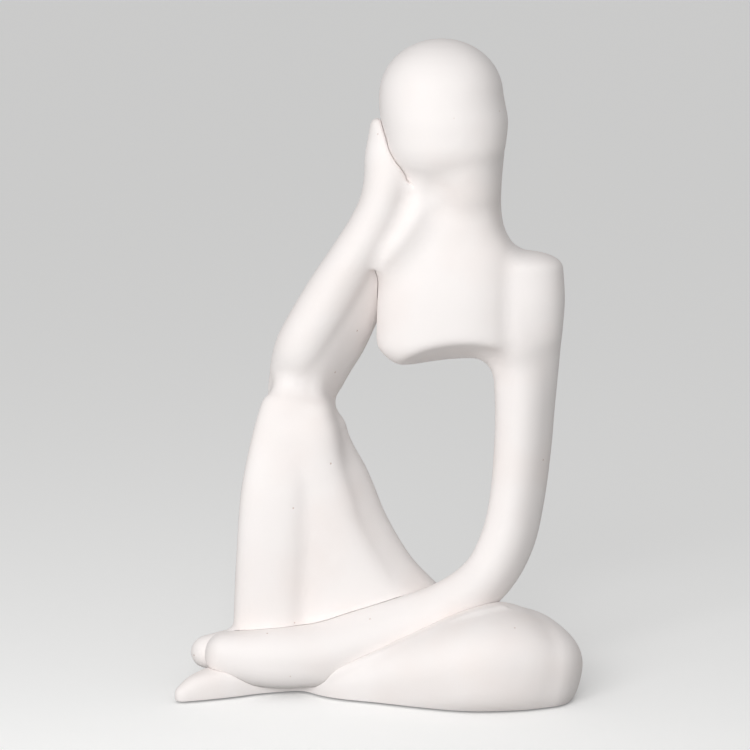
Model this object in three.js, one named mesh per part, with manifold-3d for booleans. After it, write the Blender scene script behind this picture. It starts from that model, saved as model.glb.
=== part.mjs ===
// A thinking woman figurine: a faceless seated figure in cast white plaster, 225 mm tall.
// Millimetres, +Z up, +X to the viewer's right, -Y towards the viewer. The origin is on the shelf, under the
// middle of the figure.
//
// The figure closes on itself round a window, so it is cast in five sections that meet at the creases of the
// pose: the trunk with the head, the arm that props the head, the long arm that reaches down to the foot,
// the raised leg and the folded leg. A thin bed of fresh plaster bonds each joint and steel dowels pin it. A
// wire stiffens the long arm and runs on into the trunk and the shin. Felt pads keep the plaster off the shelf.
import * as THREE from "three";
import { mergeVertices } from "three/addons/utils/BufferGeometryUtils.js";
import Module from "manifold-3d";

const wasm = await Module();
wasm.setup();

// Driving dimensions
const JOINT_BED = 0.3; // plaster bed between two sections, and round a dowel or a wire
const DOWEL_RADIUS = 1.5;
const DOWEL_LENGTH = 18;
const WIRE_RADIUS = 1.25;
const PAD_THICKNESS = 1.2;
const PAD_RADIUS = 6;
const PAD_SINK = 0.4; // how deep each pad sits in its recess in the underside
const PAD_FIT = 0.3; // clearance of a pad in its recess
const UNDERSIDE = PAD_THICKNESS - PAD_SINK; // height of the plaster's flat underside over the shelf

// Each joint plane passes through a point and leans by its tilt, in degrees, in the viewer's plane.
const SHOULDER_JOINT = { x: 41.5, z: 113, tilt: 6.6 };
const ELBOW_JOINT = { x: -24, z: 106.3, tilt: 97.5 };

// Every form below is a limb: stations along its centre line, each [x, y, z, half width, half depth, turn].
// The width lies in the viewer's plane, square to the centre line, the depth points away from the viewer, and
// the turn swings both about the centre line, in degrees.
const HEAD = [
  [24.3, -6, 191, 20.6, 19],
  [23.8, -4, 197, 21.7, 21.5],
  [23, -2.6, 202, 21.7, 22.4],
  [22.6, -2.4, 206, 21.3, 22.2],
];
const JAW = [
  [26, -6, 189, 17, 17.5],
  [29, -4.2, 180, 14.3, 16.5],
  [31, -2.9, 171, 12, 14.6],
  [31, -0.8, 163, 10.5, 12],
];
const NECK_AND_CHEST = [
  [27.5, 3, 206, 12, 13],
  [30.3, 2.5, 197, 15, 15.5],
  [31.2, 1.4, 187, 13.4, 15.3, 6],
  [30.9, 0, 176, 12.5, 14.8, 12],
  [29.7, -0.1, 167, 13.6, 14.4, 12],
  [27.9, 0.2, 160.5, 16.5, 14.4, 11],
  [27.3, 0.6, 156, 19.3, 14.7, 9],
  [27.1, 0.6, 152, 21.8, 15.1, 8],
  [25.9, 0.4, 147, 24.2, 15.6, 7],
  [25.4, 0, 136, 24.5, 16.5, 7],
  [25, 0, 121, 24.6, 16.5, 7],
];
const COLLAR = [
  [17, 1, 177, 4.5, 13],
  [15.6, 0, 167.5, 5.5, 14],
  [11, -0.5, 159.5, 6, 14],
  [6, -0.5, 153.2, 6, 14],
  [2.3, 0, 148, 4, 12.5],
];
const SHOULDER = [
  [30, 3, 163, 11, 12],
  [19, 3, 163, 12.5, 12.5],
  [9, 3, 161, 13, 11],
  [1, 2, 156, 11, 9],
];
const REACHING_ARM = [
  [50.1, 1, 146, 15.1, 13.5, 0],
  [50.3, 1, 134, 15.6, 14.5, 0],
  [51, 1.5, 122, 13.7, 14, -20],
  [52.5, 2, 112, 11.8, 10.6, -42],
  [52.5, 2, 99, 11.8, 9.2, -53],
  [51.7, 1, 82, 11.5, 8.6, -54],
  [49.7, -1, 64, 11, 8.2, -53],
  [46.2, -4, 50, 10.9, 8.3, -53],
  [39.2, -7, 38, 10.9, 8.1, -54],
  [27.2, -11, 29.3, 10.9, 8.2, -52],
  [12, -14, 23.3, 10.7, 8.6, -46],
  [-3.5, -17, 18, 10.2, 10, -32],
  [-19, -19, 13.5, 10.2, 11, -12],
  [-36, -20, 12.5, 10.2, 11],
  [-52, -20, 14, 7.4, 8.5],
];
const PROPPING_BLADE = [
  [-21.5, 6.5, 104, 12.5, 6.5, 58],
  [-19.9, 6, 111, 14.5, 8, 57],
  [-17.3, 5.2, 119, 16.4, 9, 55],
  [-12.8, 4.4, 129.5, 16.4, 9, 53],
  [-7.2, 4.9, 140.5, 15.2, 9, 52],
  [0.6, 5.5, 151, 12, 9, 46],
  [6.5, 5, 159, 10, 8.5, 38],
];
const FOREARM = [
  [-28.9, 4, 102.5, 8.6, 5],
  [-28.4, 1.8, 107.5, 8.2, 6],
  [-27.8, -1.6, 113, 8.1, 7.6],
  [-24.9, -4.5, 121, 8.4, 8.9],
  [-15.8, -5.5, 137, 8.3, 9],
  [-8.6, -6.5, 149, 7.6, 9],
  [-1.9, -6.5, 160, 7.3, 8.5],
  [2, -6.5, 169, 7, 8.5],
  [4.2, -6, 178, 7.6, 8.5],
  [3.6, -5, 187, 6.8, 7.5],
  [2, -3, 194.5, 3.6, 4.5],
];
const SLEEVE = [
  [-5.5, 0, 148, 9, 10],
  [0.5, 0, 157, 9.5, 10.5],
  [6, 0, 165, 8, 10.5],
  [9.5, 0, 173, 6, 10.5],
  [11.5, 0, 179, 5, 10],
];
const RAISED_LEG = [
  [-26.9, -1.4, 96, 12.6, 13],
  [-26.3, -1.8, 90, 14, 14.5],
  [-25.7, -1.2, 80, 15.3, 15.6],
  [-24, -0.6, 69, 17.7, 16.2],
  [-22.4, 0, 57.5, 20, 17],
  [-18.7, 0.8, 43, 25, 17.5],
  [-13.5, 2, 32, 29, 18.3],
  [-9, 4, 20, 38, 19],
  [-9, 4, 5, 38, 19],
];
const CALF = [
  [-22, 3.4, 87, 11.9, 11.2, -62],
  [-20.6, 2.3, 82, 12.8, 12.2, -60],
  [-18, 1, 76, 13.5, 13, -57],
  [-15, 0.8, 69, 13.5, 13, -53],
  [-10.4, 1, 57.5, 13.5, 13, -48],
  [-1.8, 1.2, 43, 13.5, 13, -45],
  [8.4, 1.8, 32, 13.5, 13, -44],
  [16.4, 3, 22, 13, 13, -44],
];
const SHIN_RIDGE = [
  [-28, -8.1, 96.5, 12, 6.3],
  [-31.2, -10, 86, 11.8, 6.3],
  [-34.8, -13, 68, 11.8, 6.7],
  [-36.2, -13.7, 47, 12, 6.7],
  [-37.6, -12.8, 26, 11.7, 6.9],
  [-38.6, -10.2, 8, 11, 7.2],
];
const REAR_FOOT = [
  [-40, -8, 11, 9, 8],
  [-51, -11, 12.5, 7.6, 7],
  [-58, -12, 12.5, 6, 6],
];
const FOLDED_LEG = [
  [53, -18.8, 11, 16.5, 25.2],
  [44, -21.5, 12.5, 18, 26.5],
  [33, -23, 12, 17.3, 26],
  [19, -21, 8.5, 15, 22],
  [5, -18, 5, 13, 18.2],
  [-9, -14.5, 3, 10.3, 16.2],
  [-24, -10, 2, 7, 11],
  [-40, -14, 3, 6.8, 10],
  [-52, -22, 3.5, 7, 7.5],
  [-61, -28, 3, 5.8, 5],
  [-66, -31.5, 2, 3.7, 3],
];
const HIPS = [
  [-6, 10, 9, 13, 19],
  [12, 12, 10, 15, 20],
  [30, 9, 9.5, 15, 21],
  [44, 3, 8.5, 13.5, 19],
];
// The hollow under the chest is cut out of the trunk.
const UNDER_CHEST = [
  [31, -40, 106.5, 36, 22],
  [31, 40, 79, 36, 22],
];

// The wire is anchored in the trunk, follows the middle of the long arm and bends back into the shin.
const WIRE_IN_TRUNK = [
  [30, 3, 141],
  [42, 3, 141.5],
  [50, 3, 138],
];
const WIRE_IN_SHIN = [
  [-30, -17, 13.5],
  [-37, -10, 14],
  [-38, -1, 15],
];
const DOWELS = {
  propping_shoulder_dowel: { at: [-1.5, 6.5, 150.5], along: [0.75, 0, 0.66] },
  elbow_dowel: { at: [-23, 2, ELBOW_JOINT.z], along: [-0.13, 0, 1] },
  hip_dowel: { at: [2, 11, 24.5], along: [0, 0, 1] },
};
const PADS = {
  knee_pad: [45, -20],
  instep_pad: [-8, -14],
  shin_pad: [-36, 7],
  seat_pad: [26, 15],
};

const plaster = new THREE.MeshStandardMaterial({ color: 0xf1ece8, roughness: 0.85, metalness: 0 });
const steel = new THREE.MeshStandardMaterial({ color: 0xa9adb0, roughness: 0.4, metalness: 1 });
const felt = new THREE.MeshStandardMaterial({ color: 0x8d8a86, roughness: 1, metalness: 0 });

// The closed body of a limb, ends rounded off over the two cap lengths. Squareness 2 is an ellipse, 3 a soft
// box.
// The sections stand square to the centre line, or else square to an axis of their own.
function limb(stations, options) {
  const { cap = [5, 5], capRings = 4, squareness = 2, sides = 20, rings = 14, grow = 0 } = options;
  const { axis, away = [0, 1, 0] } = options;
  const centre = new THREE.CatmullRomCurve3(
    stations.map(([x, y, z]) => new THREE.Vector3(x, y, z)),
    false,
    "catmullrom",
  );
  const section = new THREE.CatmullRomCurve3(
    stations.map(([, , , halfWidth, halfDepth, turn = 0]) => new THREE.Vector3(halfWidth, halfDepth, turn)),
    false,
    "catmullrom",
  );
  const geometry = new THREE.CapsuleGeometry(1, 1, capRings, sides, rings);
  const position = geometry.attributes.position;
  for (let i = 0; i < position.count; i++) {
    const [right, along, front] = [position.getX(i), position.getY(i), position.getZ(i)];
    const onLine = THREE.MathUtils.clamp(along, -0.5, 0.5);
    const t = centre.getUtoTmapping(onLine + 0.5);
    const tangent = axis ? new THREE.Vector3(...axis) : centre.getTangent(t);
    const depth = new THREE.Vector3(...away).projectOnPlane(tangent).normalize();
    const width = new THREE.Vector3().crossVectors(tangent, depth);
    const { x: halfWidth, y: halfDepth, z: turn } = section.getPoint(t);
    depth.applyAxisAngle(tangent, THREE.MathUtils.degToRad(turn));
    width.applyAxisAngle(tangent, THREE.MathUtils.degToRad(turn));
    const radius = Math.hypot(right, front);
    const angle = Math.atan2(front, right);
    const point = centre
      .getPoint(t)
      .addScaledVector(width, radius * (halfWidth + grow) * squared(Math.cos(angle), squareness))
      .addScaledVector(depth, radius * (halfDepth + grow) * squared(Math.sin(angle), squareness))
      .addScaledVector(tangent, (along - onLine) * (cap[along < 0 ? 0 : 1] + grow));
    position.setXYZ(i, point.x, point.y, point.z);
  }
  return solid(geometry);
}

function squared(value, squareness) {
  return Math.sign(value) * Math.abs(value) ** (2 / squareness);
}

function solid(geometry, matrix = new THREE.Matrix4()) {
  const bare = geometry.clone().applyMatrix4(matrix);
  bare.deleteAttribute("normal");
  bare.deleteAttribute("uv");
  const merged = mergeVertices(bare, 1e-3);
  return new wasm.Manifold(
    new wasm.Mesh({
      numProp: 3,
      vertProperties: new Float32Array(merged.attributes.position.array),
      triVerts: new Uint32Array(merged.index.array),
    }),
  );
}

function box(min, max) {
  const size = new THREE.Vector3(...max).sub(new THREE.Vector3(...min));
  const middle = new THREE.Vector3(...min).addScaledVector(size, 0.5);
  return solid(new THREE.BoxGeometry(size.x, size.y, size.z), new THREE.Matrix4().setPosition(middle));
}

// A block on one side of a joint plane, set back from it, and as tall as the joint needs.
function beyond({ x, z, tilt }, side, back, [low, high]) {
  const block = new THREE.BoxGeometry(60, 90, high - low);
  block.translate(side * (30 + back), 0, (low + high) / 2);
  return solid(block.rotateY(THREE.MathUtils.degToRad(tilt)).translate(x, 0, z));
}

function dowel({ at, along }, radius, length) {
  const turn = new THREE.Quaternion().setFromUnitVectors(
    new THREE.Vector3(0, 1, 0),
    new THREE.Vector3(...along).normalize(),
  );
  const matrix = new THREE.Matrix4().compose(new THREE.Vector3(...at), turn, new THREE.Vector3(1, 1, 1));
  return solid(new THREE.CylinderGeometry(radius, radius, length, 16), matrix);
}

function wire(grow) {
  const path = [...WIRE_IN_TRUNK, ...REACHING_ARM.slice(3, -2), ...WIRE_IN_SHIN];
  const stations = path.map(([x, y, z]) => [x, y, z, WIRE_RADIUS, WIRE_RADIUS]);
  return limb(stations, { cap: [0.8, 0.8], sides: 8, rings: 44, grow });
}

function pad([x, y], radius, top) {
  const matrix = new THREE.Matrix4().makeRotationX(Math.PI / 2).setPosition(x, y, top / 2);
  return solid(new THREE.CylinderGeometry(radius, radius, top, 32), matrix);
}

function joined(...solids) {
  return solids.reduce((whole, next) => whole.add(next));
}

function without(whole, ...cutters) {
  return cutters.reduce((rest, cutter) => rest.subtract(cutter), whole);
}

function named(name, made, material) {
  const { vertProperties, triVerts } = made.getMesh();
  const geometry = new THREE.BufferGeometry()
    .setAttribute("position", new THREE.BufferAttribute(vertProperties, 3))
    .setIndex(new THREE.BufferAttribute(triVerts, 1));
  geometry.computeVertexNormals();
  const mesh = new THREE.Mesh(geometry, material);
  mesh.name = name;
  return mesh;
}

// The five forms. Grown by the joint bed, a form is also the cutter that fits its neighbour to it.
const trunkForm = (grow) =>
  without(
    joined(
      limb(HEAD, { cap: [16, 19], capRings: 7, squareness: 2.2, sides: 24, rings: 6, axis: [0, 0, 1], grow }),
      limb(JAW, { cap: [3, 4], rings: 6, axis: [0, 0, -1], grow }),
      limb(NECK_AND_CHEST, { cap: [4, 12], squareness: 2.5, sides: 24, rings: 26, axis: [0, 0, -1], grow }),
      limb(COLLAR, { cap: [3, 3], squareness: 2.2, rings: 12, grow }),
      limb(SHOULDER, { cap: [4, 4], rings: 8, grow }),
    ),
    limb(UNDER_CHEST, { rings: 1, sides: 32, away: [0, 0, 1], grow: -grow }),
  );
const proppingForm = (grow) =>
  joined(
    limb(PROPPING_BLADE, { squareness: 3, grow }),
    limb(FOREARM, { cap: [5, 4], rings: 18, grow }),
    limb(SLEEVE, { cap: [3, 3], rings: 8, axis: [0, 0, 1], grow }),
  );
const reachingForm = (grow) => limb(REACHING_ARM, { cap: [6, 7], squareness: 2.4, rings: 40, grow });
const raisedForm = (grow) =>
  joined(
    limb(RAISED_LEG, { cap: [7.5, 5], squareness: 3.4, sides: 28, rings: 20, axis: [0, 0, -1], grow }),
    limb(CALF, { cap: [11, 5], squareness: 3, rings: 16, axis: [0, 0, -1], grow }),
    limb(SHIN_RIDGE, { cap: [7.5, 5], squareness: 2.4, grow }),
    limb(REAR_FOOT, { cap: [5, 6.5], rings: 8, grow }),
  );
const foldedForm = (grow) =>
  joined(
    limb(FOLDED_LEG, { cap: [17.7, 3], squareness: 2.8, sides: 24, rings: 34, grow }),
    limb(HIPS, { cap: [8, 8], rings: 8, grow }),
  );

const dowels = Object.entries(DOWELS);
const bores = joined(
  wire(JOINT_BED),
  ...dowels.map(([, place]) => dowel(place, DOWEL_RADIUS + JOINT_BED, DOWEL_LENGTH + 2 * JOINT_BED)),
);
const padRecesses = joined(
  ...Object.values(PADS).map((place) => pad(place, PAD_RADIUS + PAD_FIT, PAD_THICKNESS)),
);
const shelfSide = box([-200, -200, -200], [200, 200, UNDERSIDE]);
const armSide = beyond(SHOULDER_JOINT, 1, 0, [-20, 60]);
const trunkSide = beyond(SHOULDER_JOINT, -1, -JOINT_BED, [-8, 60]);
const kneeSide = beyond(ELBOW_JOINT, 1, 0, [-30, 30]);
const elbowSide = beyond(ELBOW_JOINT, -1, -JOINT_BED, [-30, 30]);

const figurine = new THREE.Group();
figurine.name = "thinking_woman_figurine";
figurine.add(
  named("trunk_and_head", without(trunkForm(0), armSide, bores), plaster),
  named("propping_arm", without(proppingForm(0), trunkForm(JOINT_BED), kneeSide, bores), plaster),
  named("reaching_arm", without(reachingForm(0), trunkSide, shelfSide, bores), plaster),
  named(
    "raised_leg",
    without(
      raisedForm(0),
      elbowSide,
      foldedForm(JOINT_BED),
      reachingForm(JOINT_BED),
      shelfSide,
      bores,
      padRecesses,
    ),
    plaster,
  ),
  named(
    "folded_leg",
    without(foldedForm(0), reachingForm(JOINT_BED), shelfSide, bores, padRecesses),
    plaster,
  ),
  named("arm_wire", wire(0), steel),
  ...dowels.map(([name, place]) => named(name, dowel(place, DOWEL_RADIUS, DOWEL_LENGTH), steel)),
  ...Object.entries(PADS).map(([name, place]) => named(name, pad(place, PAD_RADIUS, PAD_THICKNESS), felt)),
);

// The stations are measured from a point under the chest; the origin belongs under the figure's middle.
const bounds = new THREE.Box3().setFromObject(figurine);
figurine.position.set(-(bounds.min.x + bounds.max.x) / 2, -(bounds.min.y + bounds.max.y) / 2, 0);

export default figurine;
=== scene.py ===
# Looks of the thinking woman figurine: a faceless seated figure cast in white plaster, 225 mm tall.
#
# The frame gives every piece its place. The five castings are lofted limb by limb, run together as wet
# plaster runs, filleted in the soft creases, left crisp where one form lies on another, and then parted again
# at the same joints as the frame's solids, so that the finished skin runs on from casting to casting.
import math

import bmesh
import bpy
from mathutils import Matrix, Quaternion, Vector
from mathutils.geometry import interpolate_bezier


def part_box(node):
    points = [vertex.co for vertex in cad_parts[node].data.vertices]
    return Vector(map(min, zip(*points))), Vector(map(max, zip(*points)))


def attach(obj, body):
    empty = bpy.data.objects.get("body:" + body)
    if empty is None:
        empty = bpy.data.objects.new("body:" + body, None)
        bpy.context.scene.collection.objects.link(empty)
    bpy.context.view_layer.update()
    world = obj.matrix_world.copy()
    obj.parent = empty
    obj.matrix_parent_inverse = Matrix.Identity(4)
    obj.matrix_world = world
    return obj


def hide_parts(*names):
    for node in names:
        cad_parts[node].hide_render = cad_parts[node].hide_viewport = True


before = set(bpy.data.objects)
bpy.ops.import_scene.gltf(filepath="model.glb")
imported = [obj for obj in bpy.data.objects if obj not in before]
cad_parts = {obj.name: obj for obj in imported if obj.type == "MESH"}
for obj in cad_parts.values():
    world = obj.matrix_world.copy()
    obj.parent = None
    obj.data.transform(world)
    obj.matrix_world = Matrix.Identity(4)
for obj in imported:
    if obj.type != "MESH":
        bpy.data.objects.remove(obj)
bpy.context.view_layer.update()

MM = 0.001
VOXEL = 0.6  # mm, grain of the modelled clay
SIDES = 48  # points round a limb
SPAN_RINGS = 6  # rings between two stations
CAP_RINGS = 8  # rings in a limb's rounded end
SMOOTH_TURNS = 5  # turns of smoothing that take the voxels' steps out of a skin
CRISP_ANGLE = 40  # degrees; faces that meet at more than this keep a crisp edge

UP, DOWN = (0, 0, 1), (0, 0, -1)
UNDERSIDE = 0.8  # mm, height of the plaster's flat underside over the shelf
SHOULDER_JOINT = {"x": 41.5, "z": 113, "tilt": 6.6}
ELBOW_JOINT = {"x": -24, "z": 106.3, "tilt": 97.5}
HIP_DOWEL_AT = (2, 11, 24.5)

# Every form is a limb: stations along its centre line, each (x, y, z, half width, half depth, turn), in mm
# from a point on the shelf under the figure's middle. The width lies in the viewer's plane, the depth points
# away from the viewer, and the turn, in degrees and left out where it is 0, swings both.
HEAD = [
    (24.3, -6, 191, 20.6, 19),
    (23.8, -4, 197, 21.7, 21.5),
    (23, -2.6, 202, 21.7, 22.4),
    (22.6, -2.4, 206, 21.3, 22.2),
]
JAW = [
    (26, -6, 189, 17, 17.5),
    (29, -4.2, 180, 14.3, 16.5),
    (31, -2.9, 171, 12, 14.6),
    (31, -0.8, 163, 10.5, 12),
]
NECK_AND_CHEST = [
    (27.5, 3, 206, 12, 13),
    (30.3, 2.5, 197, 15, 15.5),
    (31.2, 1.4, 187, 13.4, 15.3, 6),
    (30.9, 0, 176, 12.5, 14.8, 12),
    (29.7, -0.1, 167, 13.6, 14.4, 12),
    (27.9, 0.2, 160.5, 16.5, 14.4, 11),
    (27.3, 0.6, 156, 19.3, 14.7, 9),
    (27.1, 0.6, 152, 21.8, 15.1, 8),
    (25.9, 0.4, 147, 24.2, 15.6, 7),
    (25.4, 0, 136, 24.5, 16.5, 7),
    (25, 0, 121, 24.6, 16.5, 7),
]
COLLAR = [
    (17, 1, 177, 4.5, 13),
    (15.6, 0, 167.5, 5.5, 14),
    (11, -0.5, 159.5, 6, 14),
    (6, -0.5, 153.2, 6, 14),
    (2.3, 0, 148, 4, 12.5),
]
SHOULDER = [
    (30, 3, 163, 11, 12),
    (19, 3, 163, 12.5, 12.5),
    (9, 3, 161, 13, 11),
    (1, 2, 156, 11, 9),
]
REACHING_ARM = [
    (50.1, 1, 146, 15.1, 13.5, 0),
    (50.3, 1, 134, 15.6, 14.5, 0),
    (51, 1.5, 122, 13.7, 14, -20),
    (52.5, 2, 112, 11.8, 10.6, -42),
    (52.5, 2, 99, 11.8, 9.2, -53),
    (51.7, 1, 82, 11.5, 8.6, -54),
    (49.7, -1, 64, 11, 8.2, -53),
    (46.2, -4, 50, 10.9, 8.3, -53),
    (39.2, -7, 38, 10.9, 8.1, -54),
    (27.2, -11, 29.3, 10.9, 8.2, -52),
    (12, -14, 23.3, 10.7, 8.6, -46),
    (-3.5, -17, 18, 10.2, 10, -32),
    (-19, -19, 13.5, 10.2, 11, -12),
    (-36, -20, 12.5, 10.2, 11),
    (-52, -20, 14, 7.4, 8.5),
]
PROPPING_BLADE = [
    (-21.5, 6.5, 104, 12.5, 6.5, 58),
    (-19.9, 6, 111, 14.5, 8, 57),
    (-17.3, 5.2, 119, 16.4, 9, 55),
    (-12.8, 4.4, 129.5, 16.4, 9, 53),
    (-7.2, 4.9, 140.5, 15.2, 9, 52),
    (0.6, 5.5, 151, 12, 9, 46),
    (6.5, 5, 159, 10, 8.5, 38),
]
FOREARM = [
    (-28.9, 4, 102.5, 8.6, 5),
    (-28.4, 1.8, 107.5, 8.2, 6),
    (-27.8, -1.6, 113, 8.1, 7.6),
    (-24.9, -4.5, 121, 8.4, 8.9),
    (-15.8, -5.5, 137, 8.3, 9),
    (-8.6, -6.5, 149, 7.6, 9),
    (-1.9, -6.5, 160, 7.3, 8.5),
    (2, -6.5, 169, 7, 8.5),
    (4.2, -6, 178, 7.6, 8.5),
    (3.6, -5, 187, 6.8, 7.5),
    (2, -3, 194.5, 3.6, 4.5),
]
SLEEVE = [
    (-5.5, 0, 148, 9, 10),
    (0.5, 0, 157, 9.5, 10.5),
    (6, 0, 165, 8, 10.5),
    (9.5, 0, 173, 6, 10.5),
    (11.5, 0, 179, 5, 10),
]
PALM_RIM = [
    (1.8, -6.5, 196.8, 0.9, 2),
    (2.8, -8.8, 193.5, 1.1, 2.3),
    (4.3, -11.2, 189.3, 1.3, 2.5),
    (7.3, -11.8, 183.3, 1.5, 2.5),
    (12, -10.6, 178.9, 1.7, 2.5),
    (16.5, -10.8, 176.2, 1.7, 2.5),
    (20, -10, 175.2, 1.2, 2.5),
]
RAISED_LEG = [
    (-26.9, -1.4, 96, 12.6, 13),
    (-26.3, -1.8, 90, 14, 14.5),
    (-25.7, -1.2, 80, 15.3, 15.6),
    (-24, -0.6, 69, 17.7, 16.2),
    (-22.4, 0, 57.5, 20, 17),
    (-18.7, 0.8, 43, 25, 17.5),
    (-13.5, 2, 32, 29, 18.3),
    (-9, 4, 20, 38, 19),
    (-9, 4, 5, 38, 19),
]
CALF = [
    (-22, 3.4, 87, 11.9, 11.2, -62),
    (-20.6, 2.3, 82, 12.8, 12.2, -60),
    (-18, 1, 76, 13.5, 13, -57),
    (-15, 0.8, 69, 13.5, 13, -53),
    (-10.4, 1, 57.5, 13.5, 13, -48),
    (-1.8, 1.2, 43, 13.5, 13, -45),
    (8.4, 1.8, 32, 13.5, 13, -44),
    (16.4, 3, 22, 13, 13, -44),
]
SHIN_RIDGE = [
    (-28, -8.1, 96.5, 12, 6.3),
    (-31.2, -10, 86, 11.8, 6.3),
    (-34.8, -13, 68, 11.8, 6.7),
    (-36.2, -13.7, 47, 12, 6.7),
    (-37.6, -12.8, 26, 11.7, 6.9),
    (-38.6, -10.2, 8, 11, 7.2),
]
REAR_FOOT = [
    (-40, -8, 11, 9, 8),
    (-51, -11, 12.5, 7.6, 7),
    (-58, -12, 12.5, 6, 6),
]
FOLDED_LEG = [
    (53, -18.8, 11, 16.5, 25.2),
    (44, -21.5, 12.5, 18, 26.5),
    (33, -23, 12, 17.3, 26),
    (19, -21, 8.5, 15, 22),
    (5, -18, 5, 13, 18.2),
    (-9, -14.5, 3, 10.3, 16.2),
    (-24, -10, 2, 7, 11),
    (-40, -14, 3, 6.8, 10),
    (-52, -22, 3.5, 7, 7.5),
    (-61, -28, 3, 5.8, 5),
    (-66, -31.5, 2, 3.7, 3),
]
THIGH_RIM = [
    (-18, -25, 5.2, 1.3, 1.7),
    (-12.4, -28, 9.6, 1.5, 2),
    (-0.3, -28.7, 15, 1.6, 2),
    (11.3, -28.9, 19.8, 1.6, 2),
    (22.3, -29, 24.8, 1.6, 2),
    (34, -27.4, 29.5, 1.6, 2),
    (44, -21.5, 30.4, 1.4, 2),
]
HIPS = [
    (-6, 10, 9, 13, 19),
    (12, 12, 10, 15, 20),
    (30, 9, 9.5, 15, 21),
    (44, 3, 8.5, 13.5, 19),
]
UNDER_CHEST = [
    (31, -40, 106.5, 36, 22),
    (31, 40, 79, 36, 22),
]

# Blocks that cut the figure, each from its low corner to its high one, in mm from the stations' point. Sides
# that don't cut lie clear of the figure.
HEAD_BLOCK = (-60, -60, 172), (80, 60, 240)
CHEST_BLOCK = (23, -60, 100), (60, 60, 170)
ELBOW_BLOCK = (-60, -60, 90), (-3, 60, 117)
GROUND_BLOCK = (-90, -90, -40), (90, 90, UNDERSIDE)
# These three are leaned, and their corners are in mm from the point that they lean about.
ARM_BLOCK = (0, -60, -55), (60, 60, 60)
LEGS_BLOCK = (0, -80, -150), (130, 80, 150)
SLEEVE_BLOCK = (-18, -60, 0), (0, 60, 32)
SLEEVE_TOP = {"x": 2.1, "z": 145.3, "tilt": 27}

# Colours
PLASTER_WHITE, PLASTER_WARM = "#F9F4F2", "#F4E9E4"
# The crease colour is painted shade for the creases.
CREASE_SHADE, PINHOLE_FLOOR = "#E3D3CC", "#D6C0B8"
FELT_DARK, FELT_PALE = "#6B6866", "#9A9693"
STEEL_GREY = "#A9ADAF"
BOARD_UNSEEN, BOARD_SEEN = "#ACACAB", "#FBFBFA"
STUDIO_WHITE = "#FFFFFF"


def middle(node):
    low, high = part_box(node)
    return (low + high) / 2


# The stations' point, found in the frame through the hip dowel, whose place among the stations is known.
ORIGIN = middle("hip_dowel") - Vector(HIP_DOWEL_AT) * MM


def spline(points):
    """A smooth run through the points, with the same number of steps in each span."""
    ends = [2 * points[0] - points[1], *points, 2 * points[-1] - points[-2]]
    run = []
    for before, start, end, after in zip(ends, ends[1:], ends[2:], ends[3:]):
        handles = start + (end - before) / 6, end - (after - start) / 6
        run += interpolate_bezier(start, *handles, end, SPAN_RINGS + 1)[:-1]
    return [*run, points[-1]]


def squared(value, squareness):
    return math.copysign(abs(value) ** (2 / squareness), value)


def limb(bm, stations, cap=(5, 5), squareness=2, axis=None, away=(0, 1, 0), grow=0):
    """A ball drawn out along the stations. Squareness 2 is an ellipse, 3 a soft box; caps are in mm."""
    centres = spline([Vector(station[:3]) for station in stations])
    sections = spline([Vector((*station[3:], 0)[:3]) for station in stations])
    count = len(centres)
    ahead = [centres[min(i + 1, count - 1)] - centres[max(i - 1, 0)] for i in range(count)]
    tangents = [Vector(axis) if axis else run.normalized() for run in ahead]
    rings = [(*ring, 1, 0) for ring in zip(centres, tangents, sections)]
    rounding = [math.pi / 2 * (1 - i / CAP_RINGS) for i in range(CAP_RINGS)]
    first = [(*rings[0][:3], math.cos(a), -(cap[0] + grow) * math.sin(a)) for a in rounding]
    last = [(*rings[-1][:3], math.cos(a), (cap[1] + grow) * math.sin(a)) for a in reversed(rounding)]
    rings = [*first, *rings, *last]
    levels = len(rings) - 1
    for vert in bmesh.ops.create_uvsphere(bm, u_segments=SIDES, v_segments=levels, radius=1)["verts"]:
        level = round(math.acos(max(-1, min(1, -vert.co.z))) / math.pi * levels)
        centre, tangent, (half_width, half_depth, turn), share, beyond = rings[level]
        swing = Quaternion(tangent, math.radians(turn))
        depth = swing @ (Vector(away) - tangent * tangent.dot(Vector(away))).normalized()
        angle = math.atan2(vert.co.y, vert.co.x)
        right = share * (half_width + grow) * squared(math.cos(angle), squareness)
        back = share * (half_depth + grow) * squared(math.sin(angle), squareness)
        point = centre + depth.cross(tangent) * right + depth * back + tangent * beyond
        vert.co = point * MM + ORIGIN


def shown(name, bm):
    mesh = bpy.data.meshes.new(name)
    bm.to_mesh(mesh)
    bm.free()
    piece = bpy.data.objects.new(name, mesh)
    bpy.context.scene.collection.objects.link(piece)
    return piece


def clay(name, *limbs, grow=0):
    """Closed limbs in one piece, still passing through each other."""
    bm = bmesh.new()
    for stations, options in limbs:
        limb(bm, stations, **options, grow=grow)
    return shown(name, bm)


def block(name, low, high, turn=0, about=(0, 0)):
    """A box in mm, leaned about a point in the viewer's plane."""
    bm = bmesh.new()
    size = Vector(high) - Vector(low)
    verts = bmesh.ops.create_cube(bm, size=1)["verts"]
    lean = Quaternion((0, 1, 0), math.radians(turn))
    for vert in verts:
        at = Vector([start + (share + 0.5) * length for start, share, length in zip(low, vert.co, size)])
        vert.co = (lean @ at + Vector((about[0], 0, about[1]))) * MM + ORIGIN
    return shown(name, bm)


def leaned(joint):
    """The turn of a joint and the point that it turns about, as a block takes them."""
    return joint["tilt"], (joint["x"], joint["z"])


def settle(piece):
    """Makes the piece's modifiers part of its mesh."""
    graph = bpy.context.evaluated_depsgraph_get()
    rough = piece.data
    piece.data = bpy.data.meshes.new_from_object(piece.evaluated_get(graph))
    piece.modifiers.clear()
    bpy.data.meshes.remove(rough)
    return piece


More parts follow.
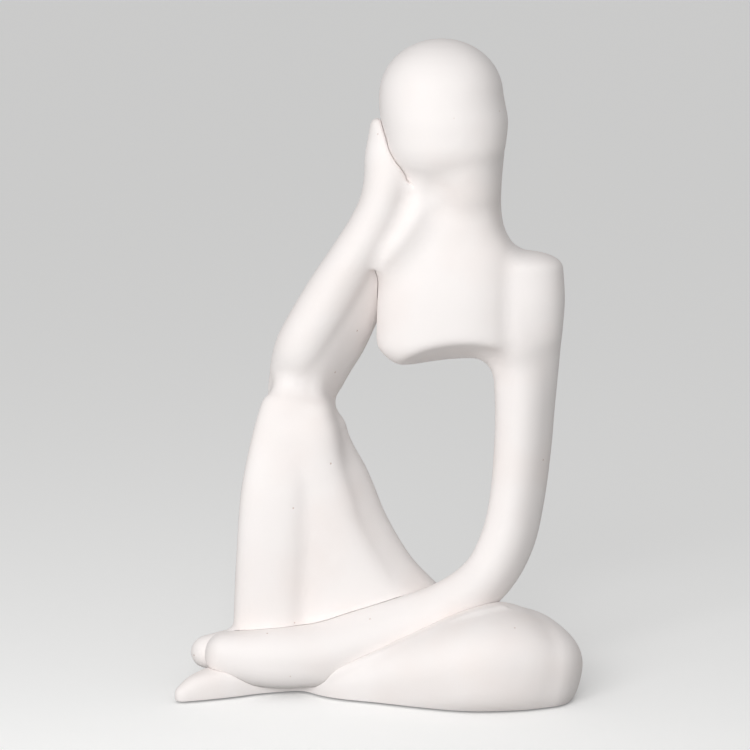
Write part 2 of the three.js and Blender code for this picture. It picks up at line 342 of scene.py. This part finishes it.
def modified(piece, kind, **settings):
    modifier = piece.modifiers.new(kind.lower(), kind)
    for name, value in settings.items():
        setattr(modifier, name, value)
    return piece


def remeshed(piece):
    return settle(modified(piece, "REMESH", mode="VOXEL", voxel_size=VOXEL * MM))


def swollen(piece, by):
    """The surface moved out by a distance in mm."""
    return remeshed(modified(piece, "DISPLACE", mid_level=0, strength=by * MM))


def shrunk(piece, by):
    """The surface a true distance inside the piece's own, found in a fog that thickens with depth."""
    fog = bpy.data.objects.new("fog", bpy.data.volumes.new("fog"))
    skin = bpy.data.objects.new("skin", bpy.data.meshes.new("skin"))
    for thing in (fog, skin):
        bpy.context.scene.collection.objects.link(thing)
    modified(
        fog,
        "MESH_TO_VOLUME",
        object=piece,
        resolution_mode="VOXEL_SIZE",
        voxel_size=VOXEL * MM,
        interior_band_width=2 * by * MM,
        density=1,
    )
    modified(
        skin,
        "VOLUME_TO_MESH",
        object=fog,
        threshold=0.5,
        resolution_mode="VOXEL_SIZE",
        voxel_size=VOXEL * MM,
    )
    rough = piece.data
    piece.data = settle(skin).data
    bpy.data.meshes.remove(rough)
    dropped(fog, skin)
    return piece


def filleted(piece, radius):
    """Fills every crease with a fillet of this radius, in mm, and leaves the rest."""
    return shrunk(swollen(piece, radius), radius)


def rounded(piece, radius):
    """Rounds off every edge to this radius, in mm, and leaves the rest."""
    return swollen(shrunk(piece, radius), radius)


def smoothed(piece):
    return settle(modified(piece, "SMOOTH", factor=0.5, iterations=SMOOTH_TURNS))


def carved(piece, operation, other):
    return settle(modified(piece, "BOOLEAN", operation=operation, solver="MANIFOLD", object=other))


def copied(piece, name):
    twin = piece.copy()
    twin.data = piece.data.copy()
    twin.name = name
    bpy.context.scene.collection.objects.link(twin)
    return twin


def dropped(*pieces):
    for piece in pieces:
        bpy.data.objects.remove(piece)


def run_together(name, *pieces):
    """Passes the pieces into one closed skin."""
    bm = bmesh.new()
    for piece in pieces:
        bm.from_mesh(piece.data)
    dropped(*pieces)
    return remeshed(shown(name, bm))


def filleted_part(piece, radius, low, high, *lean):
    """The part of the piece in one region, with its creases filleted: cut out wide, filleted, trimmed."""
    wide = 3 * radius
    for margin in (wide, 0):
        region = block("region", [v - margin for v in low], [v + margin for v in high], *lean)
        carved(piece, "INTERSECT", region)
        dropped(region)
        if margin:
            filleted(piece, radius)
    return piece


def parted(whole, name, form):
    """Takes the share of the figure that lies inside a form."""
    share = carved(copied(whole, name), "INTERSECT", form)
    carved(whole, "DIFFERENCE", form)
    dropped(form)
    return share


def without_crumbs(piece):
    """Keeps the largest body of a cut piece."""
    bm = bmesh.new()
    bm.from_mesh(piece.data)
    left = set(bm.verts)
    bodies = []
    while left:
        body = {left.pop()}
        front = list(body)
        while front:
            near = {edge.other_vert(vert) for vert in front for edge in vert.link_edges} & left
            left -= near
            body |= near
            front = list(near)
        bodies.append(body)
    crumbs = set(bm.verts) - max(bodies, key=len)
    bmesh.ops.delete(bm, geom=list(crumbs), context="VERTS")
    bm.to_mesh(piece.data)
    bm.free()
    return piece


def trunk_form():
    trunk = remeshed(
        clay(
            "trunk",
            (HEAD, {"cap": (16, 19), "squareness": 2.2, "axis": UP}),
            (JAW, {"cap": (3, 4), "axis": DOWN}),
            (NECK_AND_CHEST, {"cap": (4, 12), "squareness": 2.5, "axis": DOWN}),
            (COLLAR, {"cap": (3, 3), "squareness": 2.2}),
            (SHOULDER, {"cap": (4, 4)}),
        )
    )
    hollow = clay("hollow", (UNDER_CHEST, {"away": UP}))
    carved(trunk, "DIFFERENCE", hollow)
    dropped(hollow)
    return filleted(rounded(trunk, radius=2.2), radius=11)


def arm_form(grow=0):
    return clay("arm", (REACHING_ARM, {"cap": (6, 7), "squareness": 2.4}), grow=grow)


def propping_form():
    arm = clay("propping", (PROPPING_BLADE, {"squareness": 3}), (FOREARM, {"cap": (5, 4)}))
    sleeve = clay("sleeve", (SLEEVE, {"cap": (3, 3), "axis": UP}))
    arm = filleted(run_together("propping", filleted(remeshed(arm), radius=10), sleeve), radius=3)
    rim = clay("rim", (PALM_RIM, {"cap": (1, 1)}))
    return filleted(run_together("propping", arm, rim), radius=1)


def raised_form():
    leg = clay(
        "raised",
        (RAISED_LEG, {"cap": (7.5, 5), "squareness": 3.4, "axis": DOWN}),
        (CALF, {"cap": (11, 5), "squareness": 3, "axis": DOWN}),
    )
    ridge = clay("ridge", (SHIN_RIDGE, {"cap": (7.5, 5), "squareness": 2.4}))
    leg = filleted(run_together("raised", filleted(remeshed(leg), radius=10), ridge), radius=5)
    foot = clay("foot", (REAR_FOOT, {"cap": (5, 6.5)}))
    return filleted(run_together("raised", leg, foot), radius=3)


def folded_form():
    leg = clay(
        "folded",
        (FOLDED_LEG, {"cap": (17.7, 3), "squareness": 2.8}),
        (HIPS, {"cap": (8, 8)}),
    )
    rim = clay("rim", (THIGH_RIM, {"cap": (2, 2)}))
    return filleted(run_together("folded", filleted(remeshed(leg), radius=5), rim), radius=1.5)


def castings():
    """The figure is modelled in soft skins and parted at the joints of the frame's solids."""
    trunk, folded = trunk_form(), folded_form()
    trunk_share = swollen(copied(trunk, "trunk_share"), by=0.2)
    folded_share = swollen(copied(folded, "share"), by=0.6)
    head_side = block("head_side", *HEAD_BLOCK)
    head = carved(copied(trunk, "head"), "INTERSECT", head_side)
    upper = filleted(run_together("upper", trunk, arm_form()), radius=8)
    # The hand is cut to the head that it holds, and its cut edge is rounded.
    propping = rounded(carved(propping_form(), "DIFFERENCE", head), radius=1.2)
    dropped(head)
    lower = run_together("lower", propping, raised_form(), folded)
    elbow = filleted_part(copied(lower, "elbow"), 6, *ELBOW_BLOCK)
    lower = run_together("lower", lower, elbow)

    # The lower skin runs softly into the upper one at the sleeve, and only lies against it everywhere else.
    sleeve = run_together("sleeve", copied(upper, "a"), copied(lower, "b"))
    filleted_part(sleeve, 4, *SLEEVE_BLOCK, *leaned(SLEEVE_TOP))
    upper = smoothed(run_together("upper", upper, copied(sleeve, "c")))
    lower = smoothed(run_together("lower", lower, sleeve))
    ground = block("ground", *GROUND_BLOCK)
    for skin in (upper, lower):
        carved(skin, "DIFFERENCE", ground)
    dropped(ground)

    arm_side = block("arm_side", *ARM_BLOCK, *leaned(SHOULDER_JOINT))
    arm_share = carved(arm_form(grow=0.5), "UNION", arm_side)
    dropped(arm_side)
    arm = parted(upper, "reaching_arm_cast", arm_share)
    chest_side = block("chest_side", *CHEST_BLOCK)
    trunk_share = carved(trunk_share, "UNION", chest_side)
    dropped(chest_side)
    trunk = carved(copied(upper, "trunk_and_head_cast"), "INTERSECT", trunk_share)
    dropped(upper)

    legs = parted(lower, "raised_leg_cast", block("below", *LEGS_BLOCK, *leaned(ELBOW_JOINT)))
    propping = lower
    propping.name = "propping_arm_cast"
    carved(trunk_share, "DIFFERENCE", head_side)
    for cutter in (trunk_share, carved(head_side, "INTERSECT", trunk)):
        carved(propping, "DIFFERENCE", cutter)
        dropped(cutter)
    arm_room = arm_form(grow=0.1)
    carved(legs, "DIFFERENCE", arm_room)
    dropped(arm_room)
    folded = parted(legs, "folded_leg_cast", folded_share)
    return [without_crumbs(piece) for piece in (trunk, propping, arm, legs, folded)]


def linear(code):
    """A #rrggbb colour as the linear one that a shader takes."""
    parts = [int(code[i : i + 2], 16) / 255 for i in (1, 3, 5)]
    return (*[p / 12.92 if p <= 0.04045 else ((p + 0.055) / 1.055) ** 2.4 for p in parts], 1)


def added(tree, kind, settings, **inputs):
    """Adds a node; an input is a value, or the socket that feeds it."""
    node = tree.nodes.new("ShaderNode" + kind)
    for name, value in settings.items():
        setattr(node, name, value)
    for name, value in inputs.items():
        socket = node.inputs[int(name[1:]) if name[1:].isdigit() else name.replace("_", " ")]
        if isinstance(value, bpy.types.NodeSocket):
            tree.links.new(value, socket)
        else:
            socket.default_value = value
    return node


def mapped(tree, value, taken, given):
    """Carries a value from the range that is taken to the range that is given."""
    ends = {"From_Min": taken[0], "From_Max": taken[1], "To_Min": given[0], "To_Max": given[1]}
    return added(tree, "MapRange", {}, Value=value, **ends).outputs[0]


def mixed(tree, share, first, second):
    """The first colour, with a share of the second mixed in."""
    return added(tree, "Mix", {"data_type": "RGBA"}, _0=share, _6=first, _7=second).outputs[2]


def noise(tree, place, grain, **settings):
    """Cloudy noise with grains of about this size in mm."""
    return added(tree, "TexNoise", {}, Vector=place, Scale=1 / (grain * MM), **settings).outputs["Fac"]


def relief(tree, height, depth, sunk=False, **over):
    """Bumps of this depth in mm, raised or sunk, over another relief given as Normal."""
    bump = added(tree, "Bump", {"invert": sunk}, Height=height, Strength=1, Distance=depth * MM, **over)
    return bump.outputs[0]


def material(name):
    made = bpy.data.materials.new(name)
    made.use_nodes = True
    return made, made.node_tree, made.node_tree.nodes["Principled BSDF"]


def plaster_material():
    """Cast white plaster, sanded by hand: matte, warm white, softly uneven, with fine grain and pinholes."""
    made, tree, shader = material("plaster_cast_and_sanded")
    place = added(tree, "TexCoord", {}).outputs["Object"]
    # Hand sanding leaves the faces very slightly uneven, which breaks the light up over the broad planes.
    uneven = noise(tree, place, 11, Detail=1.5, Roughness=0.4)
    # The grain of the set plaster, just visible, makes the sheen break up.
    grain = noise(tree, place, 0.7, Detail=3, Roughness=0.65)
    # Air trapped at the mould's wall leaves a pinhole here and there, with a shadowed, slightly pink floor.
    bubble_spacing = 10
    bubbles = added(tree, "TexVoronoi", {}, Vector=place, Scale=1 / (bubble_spacing * MM))
    hole = mapped(tree, bubbles.outputs["Distance"], (0.015, 0.045), (1, 0))
    # Faint warm patches, where the plaster dried more slowly.
    patches = noise(tree, place, 30, Detail=2, Roughness=0.55)
    patch = mapped(tree, patches, (0.45, 0.75), (0, 0.45))
    # Painted shade: the creases, found by the mesh's pointiness, are darkened as if shade fell in them.
    crease = mapped(tree, added(tree, "NewGeometry", {}).outputs["Pointiness"], (0.44, 0.495), (0.5, 0))
    tint = mixed(tree, patch, linear(PLASTER_WHITE), linear(PLASTER_WARM))
    # Painted shade laid into the creases.
    crease_shaded = mixed(tree, crease, tint, linear(CREASE_SHADE))
    pitted = mixed(tree, hole, crease_shaded, linear(PINHOLE_FLOOR))
    tree.links.new(pitted, shader.inputs["Base Color"])
    soft = relief(tree, uneven, 0.25)
    fine = relief(tree, grain, 0.03, Normal=soft)
    pits = relief(tree, hole, 0.12, sunk=True, Normal=fine)
    tree.links.new(pits, shader.inputs["Normal"])
    tree.links.new(mapped(tree, grain, (0.3, 0.7), (0.55, 0.75)), shader.inputs["Roughness"])
    shader.inputs["Specular IOR Level"].default_value = 0.35
    return made


def felt_material():
    """Grey pressed felt: matted fibres, no shine."""
    made, tree, shader = material("felt_pressed_and_cut")
    place = added(tree, "TexCoord", {}).outputs["Object"]
    # Fibres lie every way, lighter where they catch the light and darker between.
    fibres = noise(tree, place, 0.6, Detail=5, Roughness=0.7, Distortion=2)
    shade = mixed(tree, fibres, linear(FELT_DARK), linear(FELT_PALE))
    tree.links.new(shade, shader.inputs["Base Color"])
    tree.links.new(relief(tree, fibres, 0.1), shader.inputs["Normal"])
    shader.inputs["Roughness"].default_value = 0.95
    shader.inputs["Specular IOR Level"].default_value = 0.2
    return made


def steel_material():
    """Drawn steel wire and rod: fine lines along the draw and a dull shine."""
    made, tree, shader = material("steel_drawn")
    place = added(tree, "TexCoord", {}).outputs["Object"]
    # The die leaves lines that run with the rod.
    along = added(tree, "Mapping", {}, Vector=place, Scale=(1, 1, 0.03))
    lines = noise(tree, along.outputs[0], 0.2, Detail=3)
    tree.links.new(mapped(tree, lines, (0, 1), (0.3, 0.5)), shader.inputs["Roughness"])
    tree.links.new(relief(tree, lines, 0.01), shader.inputs["Normal"])
    shader.inputs["Base Color"].default_value = linear(STEEL_GREY)
    shader.inputs["Metallic"].default_value = 1
    return made


def felt_pad(node):
    """A disc of felt with softly cut edges."""
    low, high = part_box(node)
    bm = bmesh.new()
    size = high - low
    radius = size.x / 2
    bmesh.ops.create_cone(bm, cap_ends=True, segments=72, radius1=radius, radius2=radius, depth=size.z)
    # The two rims turn a right angle, the facets between them only 5 degrees.
    turned = math.radians(60)
    rims = [edge for edge in bm.edges if edge.calc_face_angle() > turned]
    bmesh.ops.bevel(bm, geom=rims, offset=0.25 * MM, segments=3, affect="EDGES", profile=0.5)
    bmesh.ops.translate(bm, verts=bm.verts, vec=(low + high) / 2)
    return shown(node + "_disc", bm)


def shaded(piece, surface):
    """Smooth shading that stays crisp where faces meet at a cut."""
    piece.data.polygons.foreach_set("use_smooth", [True] * len(piece.data.polygons))
    piece.data.set_sharp_from_angle(angle=math.radians(CRISP_ANGLE))
    piece.data.materials.clear()
    piece.data.materials.append(surface)


plaster, felt = plaster_material(), felt_material()
for piece in castings():
    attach(piece, "root")
    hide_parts(piece.name.removesuffix("_cast"))
    shaded(piece, plaster)
for node in ("knee_pad", "instep_pad", "shin_pad", "seat_pad"):
    piece = felt_pad(node)
    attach(piece, "root")
    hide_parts(node)
    shaded(piece, felt)
steel = steel_material()
for node in ("arm_wire", "propping_shoulder_dowel", "elbow_dowel", "hip_dowel"):
    slots = bpy.data.objects[node].data.materials
    slots.clear()
    slots.append(steel)

# Camera
VIEW_TARGET = Vector((0, 0, 108.47)) * MM + Vector((ORIGIN.x, ORIGIN.y, 0))
VIEW_DISTANCE = 0.9
VIEW_ELEVATION = math.radians(9)
LENS, SENSOR_WIDTH = 124, 36  # mm
camera = bpy.data.objects.new("camera", bpy.data.cameras.new("camera"))
bpy.context.scene.collection.objects.link(camera)
bpy.context.scene.camera = camera
camera.data.sensor_width = SENSOR_WIDTH
camera.data.lens = LENS
back = Vector((0, -math.cos(VIEW_ELEVATION), math.sin(VIEW_ELEVATION)))
camera.location = VIEW_TARGET + back * VIEW_DISTANCE
camera.rotation_euler = (-back).to_track_quat("-Z", "Y").to_euler()

# Floor, lights and world
FLOOR_RADIUS = 40  # m
SEEN_GLOW = 0.13
WORLD_STRENGTH = 0.48
LAMP_AIM = Vector((0, 0, 0.11))
bm = bmesh.new()
bmesh.ops.create_circle(bm, cap_ends=True, segments=64, radius=FLOOR_RADIUS)
floor = shown("floor", bm)
board, tree, shader = material("floor_painted_board")
shader.inputs["Roughness"].default_value = 0.9
# The board is painted nearly white; only what is seen of it is that bright, so that it lights no undersides.
path = added(tree, "LightPath", {})
rays = path.outputs["Is Camera Ray"], path.outputs["Is Glossy Ray"]
seen = added(tree, "Math", {"operation": "MAXIMUM"}, _0=rays[0], _1=rays[1]).outputs[0]
paint = mixed(tree, seen, linear(BOARD_UNSEEN), linear(BOARD_SEEN))
tree.links.new(paint, shader.inputs["Base Color"])
glow = added(tree, "Math", {"operation": "MULTIPLY"}, _0=seen, _1=SEEN_GLOW)
tree.links.new(glow.outputs[0], shader.inputs["Emission Strength"])
floor.data.materials.append(board)

world = bpy.data.worlds.new("studio")
bpy.context.scene.world = world
world.use_nodes = True
sky = world.node_tree.nodes["Background"]
sky.inputs["Color"].default_value = linear(STUDIO_WHITE)
sky.inputs["Strength"].default_value = WORLD_STRENGTH


def lamp(name, size, power, azimuth, elevation, distance):
    """A soft square lamp that faces the figure's middle; azimuth 0 is the camera's side."""
    light = bpy.data.lights.new(name, "AREA")
    light.size = size
    light.energy = power
    thing = bpy.data.objects.new(name, light)
    bpy.context.scene.collection.objects.link(thing)
    turn, rise = math.radians(azimuth), math.radians(elevation)
    out = Vector((math.sin(turn) * math.cos(rise), -math.cos(turn) * math.cos(rise), math.sin(rise)))
    thing.location = LAMP_AIM + out * distance
    thing.rotation_euler = (-out).to_track_quat("-Z", "Y").to_euler()


lamp("key", size=0.47, power=2.88, azimuth=-18, elevation=16, distance=0.65)

bpy.context.scene.view_settings.view_transform = "Standard"
